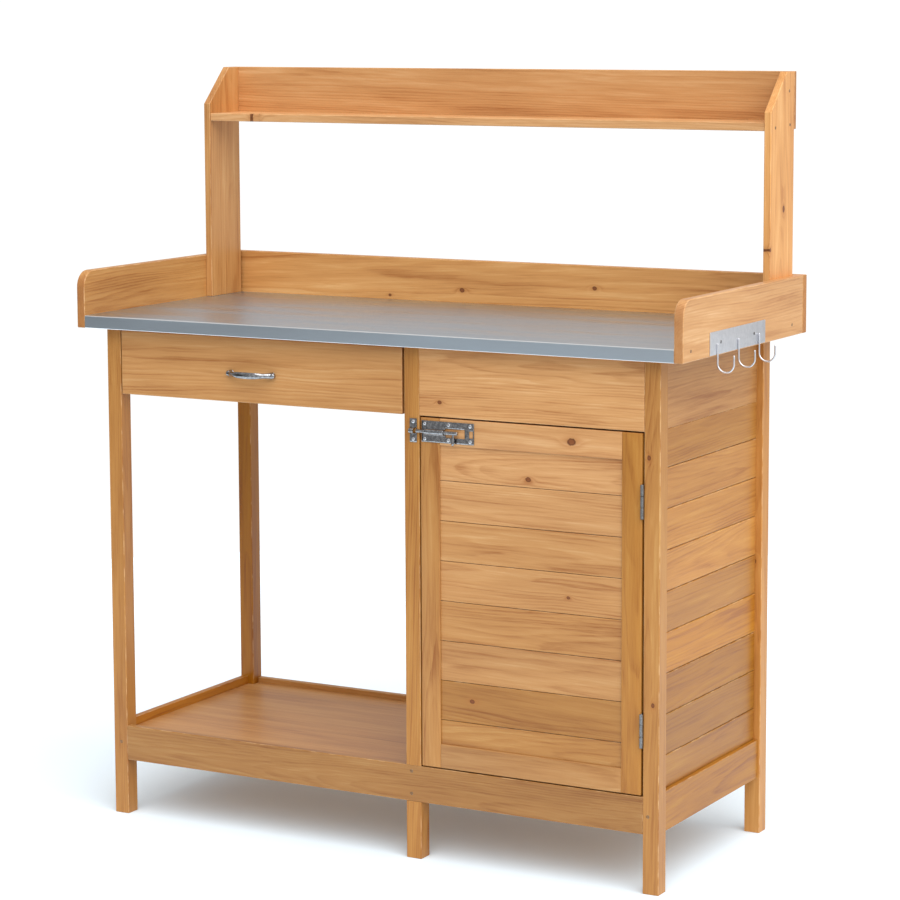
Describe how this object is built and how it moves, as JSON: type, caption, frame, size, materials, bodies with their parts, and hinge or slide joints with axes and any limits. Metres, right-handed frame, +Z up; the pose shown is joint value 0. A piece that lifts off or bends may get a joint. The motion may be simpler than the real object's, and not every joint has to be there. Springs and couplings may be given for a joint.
{
  "type": "potting bench",
  "caption": "Wooden potting bench: metal-topped work surface in a low curb, raised shelf, drawer over an open bay, cupboard with a slatted door and slide latch, and a rack of hooks.",
  "frame": {"origin": "middle of the bench's box at floor level", "axes": "+Z up, -Y the front with the drawer and door, +X the side with the cupboard and hooks"},
  "size_m": [1.1762, 0.501, 1.294],
  "materials": {
    "stained_fir": "satin",
    "galvanised_steel": "satin",
    "chrome_hardware": "gloss"
  },
  "bodies": {
    "bench": {"leg_front_left": "stained_fir", "leg_front_right": "stained_fir", "leg_back_left": "stained_fir", "leg_back_right": "stained_fir", "leg_front_middle": "stained_fir", "leg_back_middle": "stained_fir", "rail_front": "stained_fir", "rail_back": "stained_fir", "rail_left": "stained_fir", "rail_right": "stained_fir", "floor_bay": "stained_fir", "floor_cabinet": "stained_fir", "siding_right": "stained_fir", "partition": "stained_fir", "back_panel": "stained_fir", "apron_right": "stained_fir", "apron_left": "stained_fir", "apron_back": "stained_fir", "panel_front": "stained_fir", "tabletop_board": "stained_fir", "worktop_sheet": "galvanised_steel", "curb_left": "stained_fir", "curb_right": "stained_fir", "curb_back": "stained_fir", "upright_left": "stained_fir", "upright_right": "stained_fir", "top_shelf": "stained_fir", "top_shelf_back": "stained_fir", "hook_rack": "galvanised_steel", "runner_left": "stained_fir", "runner_right": "stained_fir", "hinge_lower_frame_leaf": "galvanised_steel", "hinge_upper_frame_leaf": "galvanised_steel", "latch_keeper": "chrome_hardware"},
    "drawer": {"drawer_front": "stained_fir", "drawer_side_left": "stained_fir", "drawer_side_right": "stained_fir", "drawer_back": "stained_fir", "drawer_bottom": "stained_fir", "drawer_handle": "chrome_hardware"},
    "door": {"door_stile_left": "stained_fir", "door_stile_right": "stained_fir", "door_rail_top": "stained_fir", "door_rail_bottom": "stained_fir", "door_slat_1": "stained_fir", "door_slat_2": "stained_fir", "door_slat_3": "stained_fir", "door_slat_4": "stained_fir", "door_slat_5": "stained_fir", "door_slat_6": "stained_fir", "door_slat_7": "stained_fir", "door_slat_8": "stained_fir", "hinge_lower_door_leaf": "galvanised_steel", "hinge_upper_door_leaf": "galvanised_steel", "latch_plate": "chrome_hardware"},
    "bolt": {"latch_bolt": "chrome_hardware"}
  },
  "joints": [
    {"name": "drawer_slide", "type": "slide", "parent": "bench", "child": "drawer", "axis": [0, -1, 0], "range_m": [0, 0.3]},
    {"name": "door_hinge", "type": "hinge", "parent": "bench", "child": "door", "pos_m": [0.47913, -0.2305, 0.45], "axis": [0, 0, 1], "range_deg": [0, 170]},
    {"name": "latch_slide", "type": "slide", "parent": "door", "child": "bolt", "axis": [1, 0, 0], "range_m": [-0.008, 0.022]}
  ]
}
